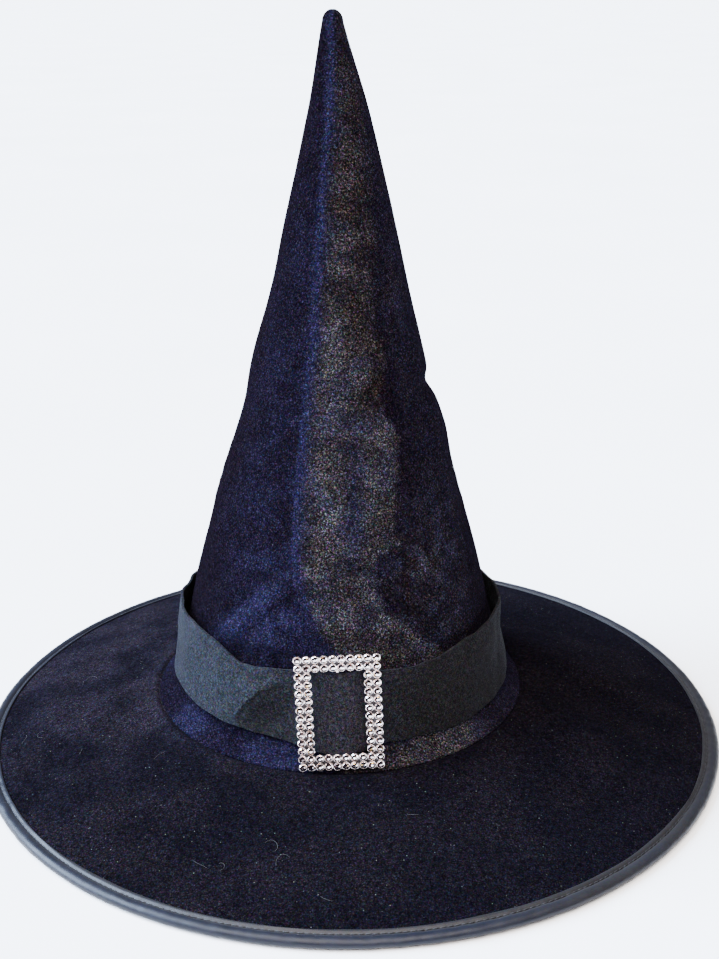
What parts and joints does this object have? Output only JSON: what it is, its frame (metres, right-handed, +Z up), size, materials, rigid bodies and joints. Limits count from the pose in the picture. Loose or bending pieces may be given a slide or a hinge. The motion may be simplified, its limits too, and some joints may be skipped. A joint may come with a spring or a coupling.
{
  "type": "witch hat",
  "caption": "Pointed velvet witch hat with a tall soft cone, a wide round bound brim, and a felt band drawn through a stone-set slider buckle.",
  "frame": {"origin": "centre of the brim's edge circle, on the surface that the brim's edge stands on", "axes": "+Z up through the crown, -Y to the front where the buckle is, +X to the right as seen from the front"},
  "size_m": [0.38, 0.38, 0.3584],
  "materials": {
    "velvet": "short black pile with a cool blue-grey sheen",
    "board": "stiffened cloth board",
    "satin": "blue-black satin bias tape",
    "felt": "charcoal felt",
    "thread": "black sewing thread",
    "wire": "bright drawn wire",
    "buckle": "bright silver plating",
    "stones": "clear faceted stones on foil"
  },
  "bodies": {
    "hat": {"crown_velvet": "velvet", "crown_stiffener": "board", "crown_seam_thread": "thread", "crown_base_thread": "thread", "head_tape": "satin", "brim_top_velvet": "velvet", "brim_core": "board", "brim_under_velvet": "velvet", "brim_wire": "wire", "wire_ferrule": "wire", "brim_binding": "satin", "binding_thread_top": "thread", "binding_thread_under": "thread", "hat_band": "felt", "band_lap_thread": "thread", "band_tack_left": "thread", "band_tack_right": "thread", "band_tack_back": "thread"},
    "buckle": {"buckle_frame": "buckle", "buckle_bar": "buckle", "stones_outer_top": "stones", "stones_outer_bottom": "stones", "stones_outer_left": "stones", "stones_outer_right": "stones", "stones_inner_top": "stones", "stones_inner_bottom": "stones", "stones_inner_left": "stones", "stones_inner_right": "stones"}
  },
  "joints": [
    {"name": "buckle_swivel", "type": "hinge", "parent": "hat", "child": "buckle", "pos_m": [-0.006, -0.08751, 0.05342], "axis": [-0.0349, 0.1391, 0.9897], "range_deg": [-6, 6]}
  ]
}
